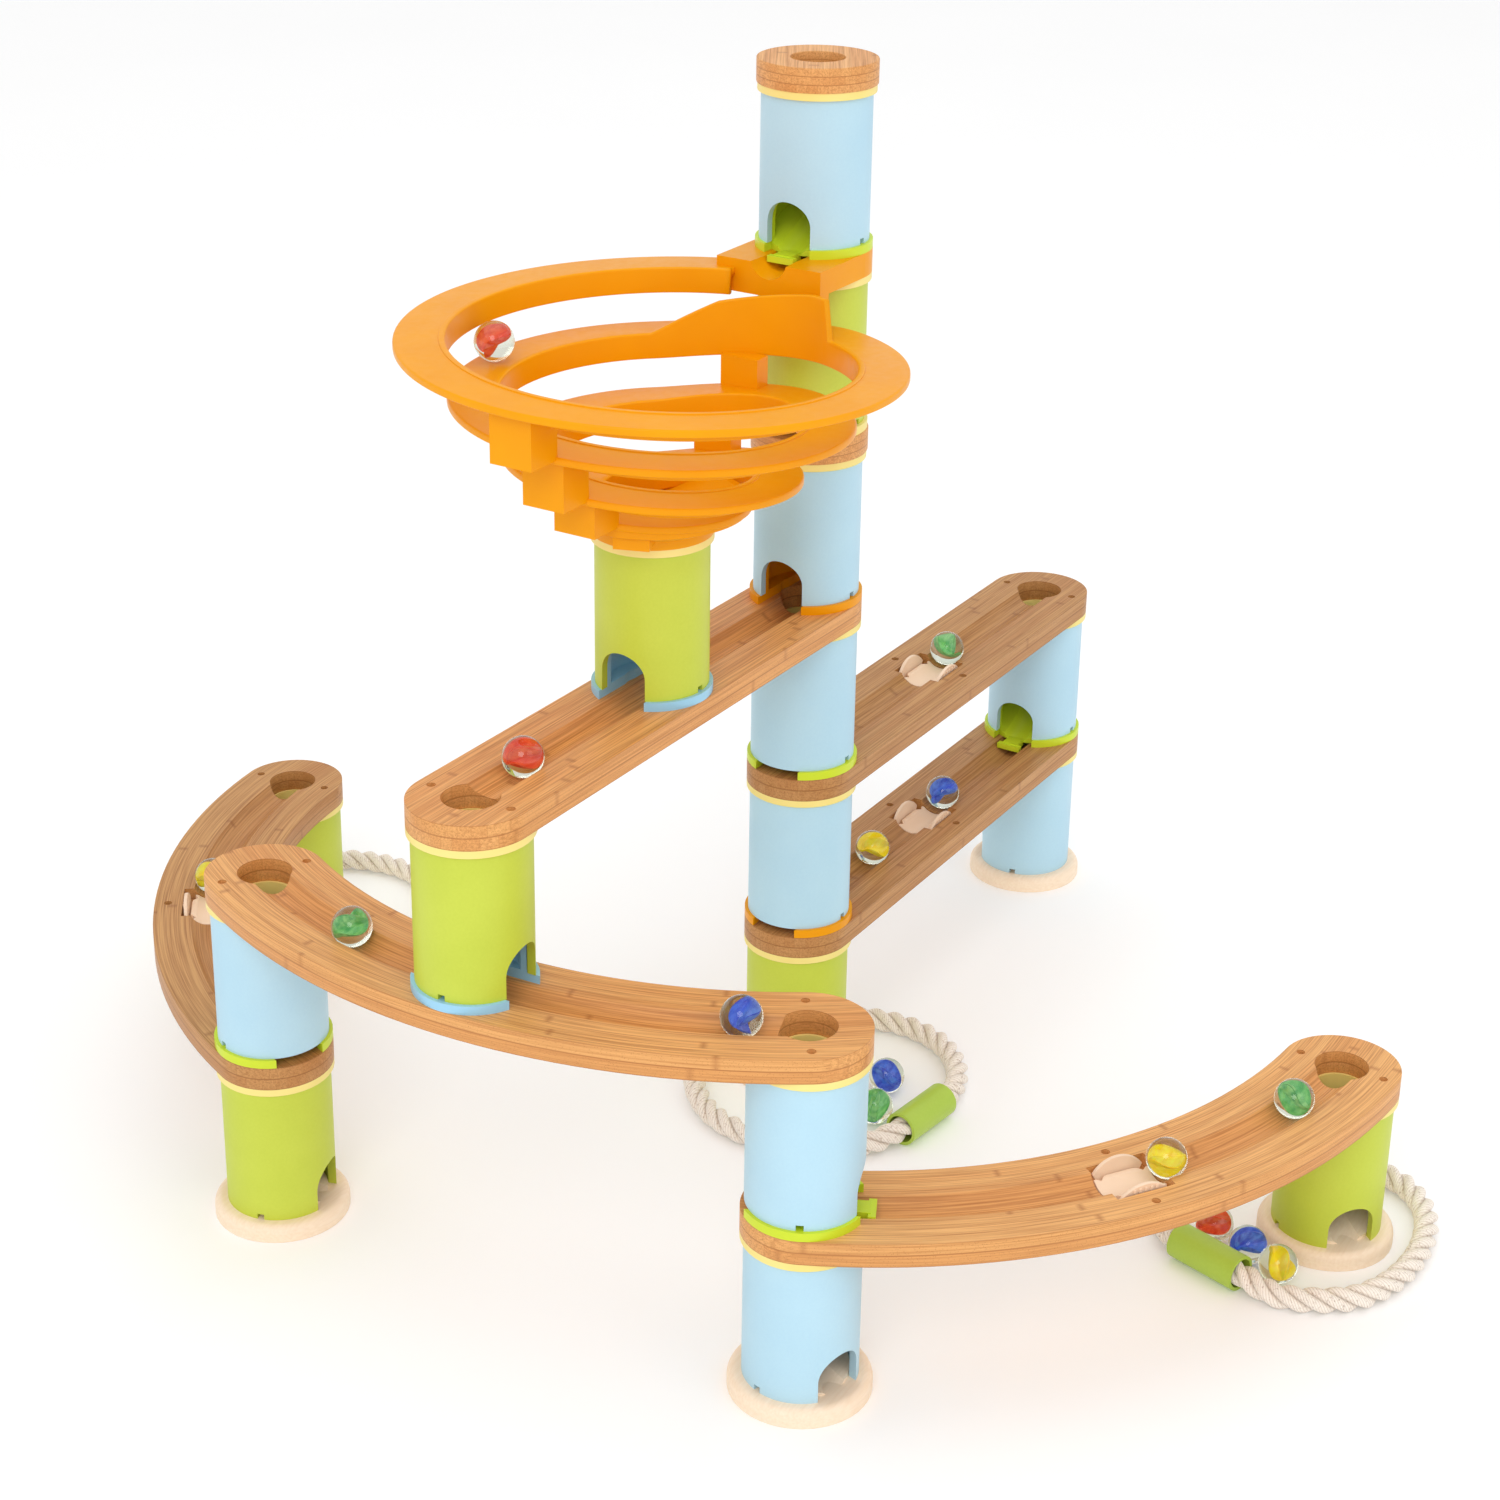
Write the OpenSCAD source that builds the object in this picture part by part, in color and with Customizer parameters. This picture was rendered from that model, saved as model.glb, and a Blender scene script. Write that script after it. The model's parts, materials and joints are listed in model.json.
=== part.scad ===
// Toy marble run: posts of stacked tubes carry wooden tracks and a spiral funnel for glass marbles.
// Z is up, the floor is z = 0, and the origin is under the middle of the tall centre post.

/* [Tubes] */
// Outside diameter of a tube
tube_d = 45; // [40:0.5:50]
// Wall thickness of a tube
tube_wall = 3.2; // [2.5:0.1:4]
// Height of a tube
tube_h = 60; // [50:1:80]
// Width of the arch at a tube's foot
arch_w = 20; // [18:0.5:24]
// Height of the arch at a tube's foot
arch_h = 18.5; // [17:0.5:24]
// Diameter of a base disc
base_d = 56; // [50:1:70]
// Thickness of a base disc
base_t = 7.2; // [5:0.1:10]

/* [Collars and rings] */
// Diameter of a collar and of a socket ring
collar_d = 48; // [46:0.5:52]
// Thickness of a collar's foot
collar_t = 3.6; // [2.4:0.1:5]
// Width of the gap across a collar's foot
collar_gap = 21; // [19:0.5:24]
// Thickness of a socket ring's flange
ring_t = 3; // [2:0.1:4]

/* [Tracks] */
// Width of a track
track_w = 48; // [46:0.5:60]
// Thickness of a track
track_t = 10; // [8:0.5:14]
// Distance between the end holes of a straight track
straight_len = 236; // [160:1:320]
// Radius of a curved track's middle line
bend_r = 240; // [180:1:320]
// Angle that a curved track turns through
bend_angle = 61; // [45:1:80]
// Diameter of a track's end hole
hole_d = 22; // [18:0.5:26]
// Depth of the groove
groove_depth = 5; // [3:0.1:6]

/* [Marbles] */
// Diameter of a marble
marble_d = 16; // [14:0.5:18]
// Gap between a marble and the groove
marble_gap = 0.3; // [0.2:0.05:0.5]

/* [Funnel] */
// Outside radius of the funnel's first turn
rim_r = 97; // [80:1:110]
// Width of the funnel's ledge
ledge_w = 19.5; // [18:0.5:24]
// Height lost in each of the first three turns
turn_drop = 21.5; // [20:0.5:26]

/* [Rope rings] */
// Diameter of the rope
rope_d = 10.5; // [8:0.5:12]
// Outside diameter of the sleeve that joins the rope's ends
sleeve_d = 15; // [13:0.5:18]

/* [Hidden] */
$fn = 96;
fit = 0.2;
tube_r = tube_d / 2;
bore_r = tube_r - tube_wall;
plug_r = bore_r - fit;
marble_r = marble_d / 2;
groove_r = marble_r + marble_gap;
groove_z = groove_r - groove_depth;
hole_r = hole_d / 2;
pin_hole_at = 18;
pitch = tube_h + ring_t + track_t + collar_t;
slot_x = 12.8;
slot_y = 11.6;
pivot_z = -7;
pivot_r = 1.25;

// Height of the top of the track, disc or bracket that closes each level
function top_z(level) = base_t + tube_h + ring_t + track_t + (level - 1) * pitch;
function foot_z(level) = level == 1 ? base_t : top_z(level - 1) + collar_t;
function polar(r, a) = [r * cos(a), r * sin(a), 0];
function up(z) = [0, 0, z];

// Plan of the posts. The straight tracks leave the centre post at 0 and 179.5 degrees.
half_bend = bend_angle / 2;
chord = 2 * bend_r * sin(half_bend);
rise_in = bend_r * cos(half_bend);
front_dir = 179.5;
curve_top_dir = 183.3;
curve_left_dir = 128.1;
curve_right_dir = -123.5;
centre_at = [0, 0, 0];
right_back_at = [straight_len, 0, 0];
low_perch_at = polar(straight_len, front_dir);
high_perch_at = polar(straight_len / 2, front_dir);
curve_top_hub = low_perch_at - polar(bend_r, curve_top_dir);
left_at = curve_top_hub + polar(bend_r, curve_top_dir - half_bend);
front_at = curve_top_hub + polar(bend_r, curve_top_dir + half_bend);
curve_left_hub = left_at - polar(bend_r, curve_left_dir + half_bend);
curve_right_hub = front_at - polar(bend_r, curve_right_dir - half_bend);
back_left_at = curve_left_hub + polar(bend_r, curve_left_dir - half_bend);
right_at = curve_right_hub + polar(bend_r, curve_right_dir + half_bend);

// Directions in which the arches face
left_arch = curve_left_dir + half_bend - 90;
front_arch = curve_right_dir - half_bend + 90;

// Rope routes, in millimetres, from inside one end of the sleeve round to inside the other
right_rope = [
    [-45.8, -225, 7.5], [-49.3, -237.4, 7.5], [-52, -253, 5.3], [-46, -270, 5.3], [-33, -284, 5.3],
    [-12, -291.5, 5.3], [13, -292, 5.3], [36, -285, 5.3], [51, -270, 5.3], [55, -248, 5.3],
    [50, -226, 5.3], [36, -208, 5.3], [14, -196, 5.3], [-10, -191, 5.3], [-29, -194, 5.3],
    [-40.7, -206.6, 7.5], [-44.2, -219, 7.5]
];
centre_rope = [
    [-11, -73.4, 7.5], [2, -75, 7.5], [18, -73, 5.3], [34, -65, 5.3], [47, -50, 5.3], [52, -30, 5.3],
    [48, -9, 5.3], [38, 12, 5.3], [22, 31, 5.3], [-1, 40, 5.3], [-26, 36, 5.3], [-48, 23, 5.3],
    [-62, 4, 5.3], [-66, -18, 5.3], [-60, -42, 5.3], [-47, -61, 5.3], [-30, -71, 7.5], [-17, -72.6, 7.5]
];
back_rope = [
    [-62, 259, 7.5], [-62, 246, 7.5], [-57, 231, 5.3], [-42, 220, 5.3], [-20, 216, 5.3], [4, 219, 5.3],
    [27, 228, 5.3], [43, 243, 5.3], [50, 263, 5.3], [48, 284, 5.3], [38, 302, 5.3], [20, 315, 5.3],
    [-3, 320, 5.3], [-28, 317, 5.3], [-48, 306, 5.3], [-59, 292, 5.3], [-62, 278, 7.5], [-62, 265, 7.5]
];

blue = [0.72, 0.87, 0.93];
green = [0.72, 0.78, 0.25];
wood = [0.8, 0.56, 0.36];
lime = [0.8, 0.87, 0.2];
orange = [0.96, 0.57, 0.1];
sky = [0.66, 0.84, 0.92];
cream = [0.95, 0.87, 0.55];
beige = [0.93, 0.82, 0.71];
rope_colour = [0.88, 0.83, 0.78];

// ---------- shared shapes ----------

// An arch-shaped tunnel that runs out along +X
module arch_tunnel(w, h) {
    translate([4, 0, 0])
        rotate([90, 0, 90])
            linear_extrude(30)
                union() {
                    translate([-w / 2, -1]) square([w, h - w / 2 + 1]);
                    translate([0, h - w / 2]) circle(r = w / 2);
                }
}

module tube(arches) {
    difference() {
        cylinder(h = tube_h, r = tube_r);
        translate([0, 0, -1]) cylinder(h = tube_h + 2, r = bore_r);
        for (a = arches) rotate(a) arch_tunnel(arch_w, arch_h);
        for (a = [90, -90]) rotate(arches[0] + a) translate([bore_r - 1, -1.5, -1]) cube([8, 3, 3.4]);
    }
}

// A tube at a level of the post that stands at a place in the plan
module tube_at(place, level, arches) {
    translate(place + up(foot_z(level))) tube(arches);
}

module end_holes(r) {
    translate([0, 0, -track_t - 1]) cylinder(h = track_t + 2, r = r);
}

// Two blind locating holes across the track
module locating_holes() {
    for (s = [-1, 1]) translate([0, s * pin_hole_at, -6]) cylinder(h = 8, r = 1.75, $fn = 32);
}

module rocker_slot() {
    translate([-slot_x, -slot_y, -track_t - 1]) cube([2 * slot_x, 2 * slot_y, track_t + 2]);
}

// The top is z = 0, the first end hole is at the origin and the other is along +X
module straight_track(slotted) {
    difference() {
        union() {
            translate([0, -track_w / 2, -track_t]) cube([straight_len, track_w, track_t]);
            for (x = [0, straight_len]) translate([x, 0, -track_t]) cylinder(h = track_t, r = track_w / 2);
        }
        for (x = [0, straight_len]) translate([x, 0, 0]) end_holes(hole_r);
        for (x = [0, straight_len / 2, straight_len]) translate([x, 0, 0]) locating_holes();
        translate([0, 0, groove_z]) rotate([0, 90, 0]) cylinder(h = straight_len, r = groove_r);
        if (slotted) translate([straight_len / 2, 0, 0]) rocker_slot();
    }
}

// The middle of the arc is on +X, at the bend radius from the hub at the origin
module curved_track(slotted) {
    difference() {
        union() {
            rotate(-half_bend)
                rotate_extrude(angle = bend_angle, $fn = 360)
                    translate([bend_r - track_w / 2, -track_t]) square([track_w, track_t]);
            for (a = [-1, 1])
                rotate(a * half_bend)
                    translate([bend_r, 0, -track_t])
                        intersection() {
                            cylinder(h = track_t, r = track_w / 2);
                            translate([-track_w, a > 0 ? 0 : -2 * track_w, -1]) cube([2 * track_w, 2 * track_w, track_t + 2]);
                        }
        }
        for (a = [-1, 1]) translate(polar(bend_r, a * half_bend)) end_holes(hole_r);
        for (a = [-1, 0, 1]) rotate(a * half_bend) translate([bend_r, 0, 0]) rotate(90) locating_holes();
        rotate(-half_bend)
            rotate_extrude(angle = bend_angle, $fn = 360)
                translate([bend_r, groove_z]) circle(r = groove_r);
        if (slotted) translate([bend_r, 0, 0]) rotate(90) rocker_slot();
    }
}

module curve_at(hub, dir, level, slotted) {
    translate(hub + up(top_z(level))) rotate(dir) curved_track(slotted);
}

module straight_at(dir, level, slotted) {
    translate(up(top_z(level))) rotate(dir) straight_track(slotted);
}

// Flange with a spigot that goes down into the tube below; the top of the flange is z = 0
module socket_ring() {
    difference() {
        union() {
            translate(up(-ring_t)) cylinder(h = ring_t, r = collar_d / 2);
            translate(up(-ring_t - 4)) cylinder(h = 5, r = plug_r);
        }
        translate(up(-ring_t - 5)) cylinder(h = ring_t + 6, r = 10);
    }
}

module ring_at(place, level) {
    translate(place + up(top_z(level) - track_t)) socket_ring();
}

// Plan of a collar's foot: a ring with a gap at +X and at -X
module foot_plan(inner) {
    difference() {
        circle(r = collar_d / 2);
        circle(r = inner);
        translate([-30, -collar_gap / 2]) square([60, collar_gap]);
    }
}

// Foot in two halves, joined by a thin sleeve inside the tube; the arches face +X, and -X too if asked
module collar_body(both_ways) {
    linear_extrude(collar_t + 0.4) foot_plan_inner();
    linear_extrude(collar_t) foot_plan(hole_r);
    translate(up(collar_t))
        difference() {
            cylinder(h = 22, r = plug_r);
            translate(up(-1)) cylinder(h = 24, r = plug_r - 2.2);
            arch_tunnel(collar_gap, arch_h + 1);
            if (both_ways) rotate(180) arch_tunnel(collar_gap, arch_h + 1);
        }
}

// Raised strip of the foot that the sleeve stands on
module foot_plan_inner() {
    difference() {
        circle(r = plug_r);
        circle(r = hole_r);
        translate([-30, -collar_gap / 2]) square([60, collar_gap]);
    }
}

// Sloping chute that turns a falling marble out through the arch at +X
module chute(high, low) {
    slope = atan((high - low) / (2 * plug_r));
    difference() {
        intersection() {
            cylinder(h = high + 1, r = plug_r - 0.1);
            rotate([90, 0, 0])
                linear_extrude(60, center = true)
                    polygon([[-plug_r, 0], [plug_r, 0], [plug_r, low], [-plug_r, high]]);
        }
        translate([0, 0, (high + low) / 2 + 7]) rotate([0, 90 + slope, 0])
            cylinder(h = 80, r = marble_r + 1, center = true);
    }
}

module ramp_collar() {
    collar_body(false);
    difference() {
        chute(18, 1.8);
        translate([-30, -collar_gap / 2, -1]) cube([20, collar_gap, collar_t + 1]);
    }
    translate([17, -4, -2]) cube([8, 8, 3]);
    translate([24, -6, -2]) cube([3, 12, 2.6]);
}

module collar_at(place, level, dir) {
    translate(place + up(top_z(level))) rotate(dir) children();
}

module base_disc() {
    rotate_extrude()
        union() {
            square([base_d / 2 - 3.4, base_t]);
            square([base_d / 2, base_t - 3.4]);
            intersection() {
                translate([base_d / 2 - 3.4, base_t - 3.4]) circle(r = 3.4, $fn = 48);
                translate([0, 1]) square([base_d, base_t - 1]);
            }
        }
    translate(up(base_t - 0.5)) chute(9, 1.5);
}

module base_at(place, dir) {
    translate(place) rotate(dir) base_disc();
}

module wood_disc() {
    difference() {
        translate(up(-track_t)) cylinder(h = track_t, r = collar_d / 2 + 0.5);
        end_holes(hole_r);
    }
}

// ---------- funnel ----------
funnel_top = top_z(5) - 3.1;
first_angle = 10;
step_angle = 4;
last_angle = 1386;

function smooth(u) = let (c = min(max(u, 0), 1)) c * c * (3 - 2 * c);
function part_of_turn(u) = u - 0.1 * pow(sin(180 * u), 2);
function band_z(a) =
    let (k = floor(a / 360), u = a / 360 - k)
    funnel_top - min(k, 3) * turn_drop - (k < 3 ? turn_drop : 8) * part_of_turn(u);
function steps_in(a) =
    smooth((a - 334) / 59) + smooth((a - 694) / 59) + smooth((a - 1054) / 59);
function band_r(a) = rim_r - ledge_w * (1 + steps_in(a));
function fence(a) = lookup(a, [[333, 0], [334, 380], [340, 380], [370, 373.5], [393, 361], [394, 0]]);
function band_section(a) =
    let (r = band_r(a), z = band_z(a), f = max(fence(a), z + 0.5))
    [[r + ledge_w, z], [r + ledge_w, z - 3], [r + 2.5, z - 3], [r + 2.5, z - 10],
     [r, z - 10], [r, f], [r + 2.5, f], [r + 2.5, z]];

module spiral_band() {
    n = (last_angle - first_angle) / step_angle;
    points = [for (i = [0:n]) let (a = first_angle + i * step_angle)
        for (p = band_section(a)) [p[0] * cos(a), p[0] * sin(a), p[1]]];
    sides = [for (i = [0:n - 1]) for (j = [0:7])
        [i * 8 + j, i * 8 + (j + 1) % 8, (i + 1) * 8 + (j + 1) % 8, (i + 1) * 8 + j]];
    first_cap = [[7, 2, 1], [7, 1, 0], [7, 6, 5], [7, 5, 2], [5, 4, 2], [4, 3, 2]];
    last_cap = [[for (j = [0:7]) n * 8 + j]];
    polyhedron(points = points, faces = concat(first_cap, sides, last_cap), convexity = 12);
}

// Blocks that join each turn to the next, opposite the bracket
module struts() {
    for (k = [0:2]) {
        low = band_z(180 + 360 * (k + 1)) - 2;
        high = band_z(180 + 360 * k) - 2.5;
        r = band_r(180 + 360 * k);
        rotate(180) translate([r - 2, -9, low]) cube([16, 18, high - low]);
    }
}

// Webs that join the turns on the bracket's side
module webs() {
    for (k = [1:2]) {
        low = band_z(720 + 360 * (k - 1)) - 2;
        high = band_z(360 * k + 2) - 9;
        r = band_r(360 * k + 2);
        translate([r - 6, -8.5, low]) cube([8, 17, high - low]);
    }
}

// Cup under the last turn, which lets the marble down into the tube
module cup() {
    base = top_z(4) - track_t;
    rotate_extrude()
        polygon([[11, base], [24, base], [24, base + 3.5], [37.5, base + 9.5], [37.5, base + 13],
                 [34.5, base + 13], [22, base + 7.5], [11, base + 4.5]]);
    rotate(200) translate([21, -7, base + 4]) cube([14, 14, 10]);
}

module bracket() {
    top = top_z(5);
    difference() {
        union() {
            translate(up(top - track_t)) cylinder(h = track_t, r = collar_d / 2);
            translate([-36, -24, top - track_t]) cube([36, 48, track_t]);
            translate([-36, -24, top - 13.5]) cube([7, 48, 6]);
        }
        translate(up(top)) end_holes(hole_r);
        translate([-30, 0, top + groove_z]) rotate([0, 90, 0]) cylinder(h = 30, r = groove_r);
        translate([-30, 0, top + groove_z]) sphere(r = groove_r);
        translate([-28, 0, top + groove_z]) rotate([0, -100, 0]) cylinder(h = 30, r = groove_r);
    }
}

// ---------- rockers, marbles and rope rings ----------

// The pivot is at the origin, across the track, and the track runs along X
module rocker() {
    groove_at = groove_z - pivot_z;
    difference() {
        union() {
            translate([-12, -8.8, -2.2]) cube([24, 17.6, 6.5]);
            for (s = [-1, 1])
                translate([0, s * 9.7, 0])
                    rotate([90, 0, 0])
                        linear_extrude(2.4, center = true)
                            intersection() {
                                translate([0, -4]) circle(r = 14);
                                translate([0, 11]) circle(r = 13);
                            }
        }
        translate([-15, 0, groove_at]) rotate([0, 90, 0]) cylinder(h = 30, r = groove_r);
        rotate([90, 0, 0]) cylinder(h = 40, r = pivot_r + 0.06, center = true, $fn = 48);
        for (x = [-1, 1]) for (y = [-1, 1])
            translate([x * 12, y * 8.8, 0]) rotate(45) cube([5, 5, 30], center = true);
    }
    for (s = [-1, 1]) for (x = [-3.6, -1.2, 1.2, 3.6])
        translate([x, s * 10.9, 2.2]) rotate([90, 0, 0]) cylinder(h = 0.6, r = 0.7, center = true, $fn = 24);
}

module rocker_pin() {
    rotate([90, 0, 0]) cylinder(h = 2 * slot_y, r = pivot_r, center = true, $fn = 48);
}

// Runs its child at the rocker pivot in the middle of a straight or a curved track
module mid_straight(level) {
    translate([straight_len / 2, 0, top_z(level) + pivot_z]) children();
}

module mid_curve(hub, dir) {
    translate(hub + polar(bend_r, dir) + up(top_z(1) + pivot_z)) rotate(dir + 90) children();
}

module marble(colour, place) {
    color(colour) translate(place) sphere(r = marble_r, $fn = 64);
}

function on_line(x, dir, level) = polar(x, dir) + up(top_z(level) + groove_z);
function on_curve(hub, dir, level) = hub + polar(bend_r, dir) + up(top_z(level) + groove_z);
function on_floor(x, y) = [x, y, marble_r];

// A tube swept along a route, two rings to each stretch between its points
function along(p, t) =
    let (n = len(p) - 1, i = min(floor(t), n - 1), u = t - i,
         a = p[max(i - 1, 0)], b = p[i], c = p[i + 1], d = p[min(i + 2, n)])
    0.5 * (2 * b + (c - a) * u + (2 * a - 5 * b + 4 * c - d) * u * u + (3 * b - a - 3 * c + d) * u * u * u);

module rope(route) {
    sides = 10;
    n = floor((len(route) - 1) * 1.5);
    span = len(route) - 1;
    points = [for (i = [0:n]) let (
        t = i * span / n,
        here = along(route, t),
        ahead = along(route, min(t + 0.05, span)) - along(route, max(t - 0.05, 0)),
        f = ahead / norm(ahead),
        s = cross(f, [0, 0, 1]) / norm(cross(f, [0, 0, 1])),
        u = cross(s, f))
        for (j = [0:sides - 1]) here + rope_d / 2 * (cos(j * 36) * s + sin(j * 36) * u)];
    faces = concat(
        [[for (j = [0:sides - 1]) j]],
        [for (i = [0:n - 1]) for (j = [0:sides - 1])
            [i * sides + j, (i + 1) * sides + j, (i + 1) * sides + (j + 1) % sides, i * sides + (j + 1) % sides]],
        [[for (j = [sides - 1:-1:0]) n * sides + j]]);
    color(rope_colour) polyhedron(points = points, faces = faces, convexity = 6);
}

module sleeve(x, y, dir) {
    color(lime)
        translate([x, y, sleeve_d / 2])
            rotate([0, 90, dir])
                difference() {
                    cylinder(h = 32, r = sleeve_d / 2, center = true);
                    cylinder(h = 40, r = rope_d / 2 + 0.9, center = true);
                }
}

// ---------- nodes ----------
module tube_centre_1() { color(green) tube_at(centre_at, 1, [-95]); }
module tube_centre_2() { color(blue) tube_at(centre_at, 2, [0]); }
module tube_centre_3() { color(blue) tube_at(centre_at, 3, [0]); }
module tube_centre_4() { color(blue) tube_at(centre_at, 4, [front_dir]); }
module tube_centre_5() { color(green) tube_at(centre_at, 5, [front_dir]); }
module tube_centre_6() { color(blue) tube_at(centre_at, 6, [front_dir]); }
module tube_back_1() { color(blue) tube_at(right_back_at, 1, [100]); }
module tube_back_2() { color(blue) tube_at(right_back_at, 2, [180]); }
module tube_left_1() { color(green) tube_at(left_at, 1, [-73]); }
module tube_left_2() { color(blue) tube_at(left_at, 2, [left_arch]); }
module tube_front_1() { color(blue) tube_at(front_at, 1, [-106]); }
module tube_front_2() { color(blue) tube_at(front_at, 2, [front_arch]); }
module tube_right_1() { color(green) tube_at(right_at, 1, [-132]); }
module tube_far_1() { color(green) tube_at(back_left_at, 1, [60]); }
module tube_perch_low() { color(green) tube_at(low_perch_at, 3, [curve_top_dir + 90, curve_top_dir - 90]); }
module tube_perch_high() { color(green) tube_at(high_perch_at, 4, [front_dir, front_dir + 180]); }

module base_discs() {
    color(beige) {
        base_at(centre_at, -95);
        base_at(right_back_at, 100);
        base_at(left_at, -73);
        base_at(front_at, -106);
        base_at(right_at, -132);
        base_at(back_left_at, 60);
    }
}

module straight_top() { color(wood) straight_at(front_dir, 3, false); }
module straight_middle() { color(wood) straight_at(0, 2, true); }
module straight_low() { color(wood) straight_at(0, 1, true); }
module curve_top() { color(wood) curve_at(curve_top_hub, curve_top_dir, 2, false); }
module curve_left() { color(wood) curve_at(curve_left_hub, curve_left_dir, 1, true); }
module curve_right() { color(wood) curve_at(curve_right_hub, curve_right_dir, 1, true); }
module disc_top() { color(wood) translate(up(top_z(6))) wood_disc(); }
module disc_middle() { color(wood) translate(up(top_z(4))) wood_disc(); }

module ramp_collars() {
    color(lime) {
        collar_at(centre_at, 2, 0) ramp_collar();
        collar_at(centre_at, 5, 180) ramp_collar();
        collar_at(right_back_at, 1, 180) ramp_collar();
        collar_at(left_at, 1, left_arch) ramp_collar();
        collar_at(front_at, 1, front_arch) ramp_collar();
    }
}

module drop_collars() {
    color(orange) {
        collar_at(centre_at, 1, 0) collar_body(false);
        collar_at(centre_at, 3, front_dir) collar_body(false);
    }
}

module through_collars() {
    color(sky) {
        collar_at(low_perch_at, 2, curve_top_dir + 90) collar_body(true);
        collar_at(high_perch_at, 3, front_dir) collar_body(true);
    }
}

module disc_collar() { color(cream) collar_at(centre_at, 4, front_dir) collar_body(false); }

module socket_rings() {
    color(cream) {
        for (level = [1:6]) ring_at(centre_at, level);
        for (level = [1, 2]) {
            ring_at(right_back_at, level);
            ring_at(left_at, level);
            ring_at(front_at, level);
        }
        ring_at(right_at, 1);
        ring_at(back_left_at, 1);
        ring_at(low_perch_at, 3);
        ring_at(high_perch_at, 4);
    }
}

module funnel_band() { color(orange) translate(high_perch_at) spiral_band(); }

module funnel_frame() {
    color(orange) {
        bracket();
        translate(high_perch_at) {
            struts();
            webs();
            cup();
        }
    }
}

module rocker_middle() { color(beige) mid_straight(2) rocker(); }
module rocker_low() { color(beige) mid_straight(1) rocker(); }
module rocker_left() { color(beige) mid_curve(curve_left_hub, curve_left_dir) rocker(); }
module rocker_right() { color(beige) mid_curve(curve_right_hub, curve_right_dir) rocker(); }

module rocker_pins() {
    color(beige) {
        mid_straight(2) rocker_pin();
        mid_straight(1) rocker_pin();
        mid_curve(curve_left_hub, curve_left_dir) rocker_pin();
        mid_curve(curve_right_hub, curve_right_dir) rocker_pin();
    }
}

red_glass = [0.75, 0.2, 0.12];
blue_glass = [0.15, 0.3, 0.75];
green_glass = [0.35, 0.65, 0.4];
yellow_glass = [0.9, 0.8, 0.15];
funnel_dir = 97;
funnel_marble = high_perch_at + polar(68, funnel_dir) + up(band_z(360 + funnel_dir) + marble_r + 0.3);

module marble_funnel() { marble(red_glass, funnel_marble); }
module marble_top() { marble(red_glass, on_line(204, front_dir, 3)); }
module marble_curve_green() { marble(green_glass, on_curve(curve_top_hub, 168.5, 2)); }
module marble_curve_blue() { marble(blue_glass, on_curve(curve_top_hub, 208, 2)); }
module marble_left_yellow() { marble(yellow_glass, on_curve(curve_left_hub, curve_left_dir - 4.4, 1)); }
module marble_middle_green() { marble(green_glass, on_line(136, 0, 2)); }
module marble_low_blue() { marble(blue_glass, on_line(138, 0, 1)); }
module marble_low_yellow() { marble(yellow_glass, on_line(68, 0, 1)); }
module marble_right_yellow() { marble(yellow_glass, on_curve(curve_right_hub, curve_right_dir + 3.9, 1)); }
module marble_right_green() { marble(green_glass, on_curve(curve_right_hub, curve_right_dir + 21, 1)); }
module marble_floor_red() { marble(red_glass, on_floor(-23, -215)); }
module marble_floor_blue() { marble(blue_glass, on_floor(-29.5, -232.5)); }
module marble_floor_yellow() { marble(yellow_glass, on_floor(-35.5, -248)); }
module marble_floor_navy() { marble(blue_glass, on_floor(5, -45)); }
module marble_floor_green() { marble(green_glass, on_floor(-20, -53)); }

module rope_right() { rope(right_rope); }
module rope_centre() { rope(centre_rope); }
module rope_back() { rope(back_rope); }
module sleeve_right() { sleeve(-45, -222, 74.5); }
module sleeve_centre() { sleeve(-14, -73, -7); }
module sleeve_back() { sleeve(-62, 262, 90); }

tube_centre_1();
tube_centre_2();
tube_centre_3();
tube_centre_4();
tube_centre_5();
tube_centre_6();
tube_back_1();
tube_back_2();
tube_left_1();
tube_left_2();
tube_front_1();
tube_front_2();
tube_right_1();
tube_far_1();
tube_perch_low();
tube_perch_high();
base_discs();
straight_top();
straight_middle();
straight_low();
curve_top();
curve_left();
curve_right();
disc_top();
disc_middle();
ramp_collars();
drop_collars();
through_collars();
disc_collar();
socket_rings();
funnel_band();
funnel_frame();
rocker_middle();
rocker_low();
rocker_left();
rocker_right();
rocker_pins();
marble_funnel();
marble_top();
marble_curve_green();
marble_curve_blue();
marble_left_yellow();
marble_middle_green();
marble_low_blue();
marble_low_yellow();
marble_right_yellow();
marble_right_green();
marble_floor_red();
marble_floor_blue();
marble_floor_yellow();
marble_floor_navy();
marble_floor_green();
rope_right();
rope_centre();
rope_back();
sleeve_right();
sleeve_centre();
sleeve_back();
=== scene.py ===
"""Looks of the marble run: camera, rope rings, glass marbles, funnel, materials and light."""
import json
import math

import bpy
from mathutils import Euler, Matrix, Vector

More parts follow.
